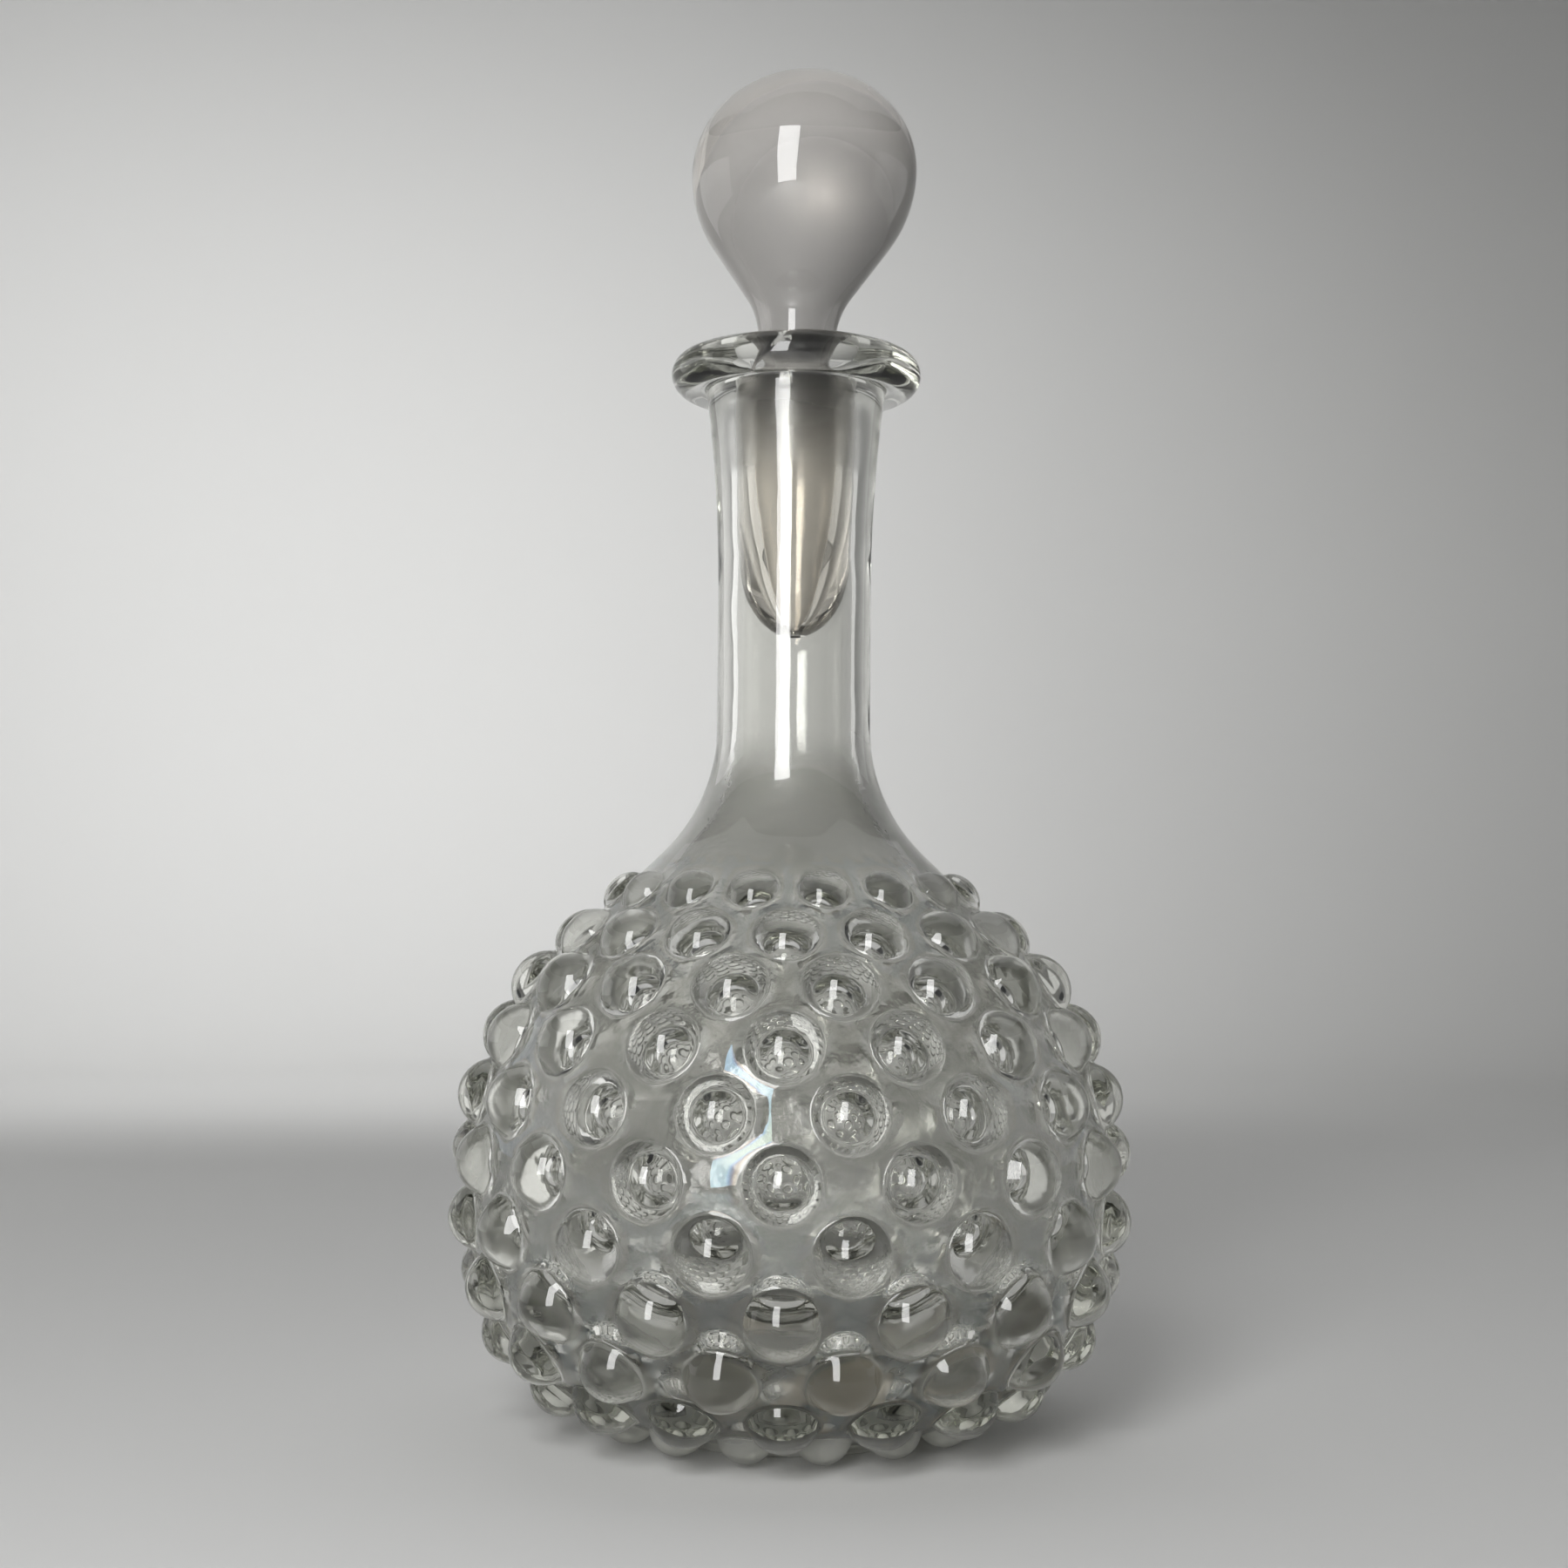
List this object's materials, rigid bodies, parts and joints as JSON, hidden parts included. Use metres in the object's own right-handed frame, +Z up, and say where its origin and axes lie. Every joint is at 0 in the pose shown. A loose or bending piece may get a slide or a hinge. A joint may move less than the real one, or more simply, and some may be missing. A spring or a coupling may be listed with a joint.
{
  "type": "decanter",
  "caption": "Globular mould-blown glass decanter covered in hobs, with a tall neck, an applied lip ring and a hollow ball stopper on a ground plug.",
  "frame": {"origin": "centre of the foot ring, on the table", "axes": "+Z up along the axis of the bottle, -Y towards the side that the picture shows, +X to its right"},
  "size_m": [0.128, 0.128, 0.2586],
  "materials": {
    "clear_glass": "gloss, clear with a faint grey-olive cast, slightly wavy from the mould",
    "misted_glass": "gloss outside, milky haze on the inside of the hollow, satin ground plug"
  },
  "bodies": {
    "bottle": {"bottle": "clear_glass", "lip_ring": "clear_glass"},
    "stopper": {"stopper": "misted_glass"}
  },
  "joints": [
    {"name": "stopper_lift", "type": "slide", "parent": "bottle", "child": "stopper", "axis": [0, 0, 1], "range_m": [0, 0.08]}
  ]
}
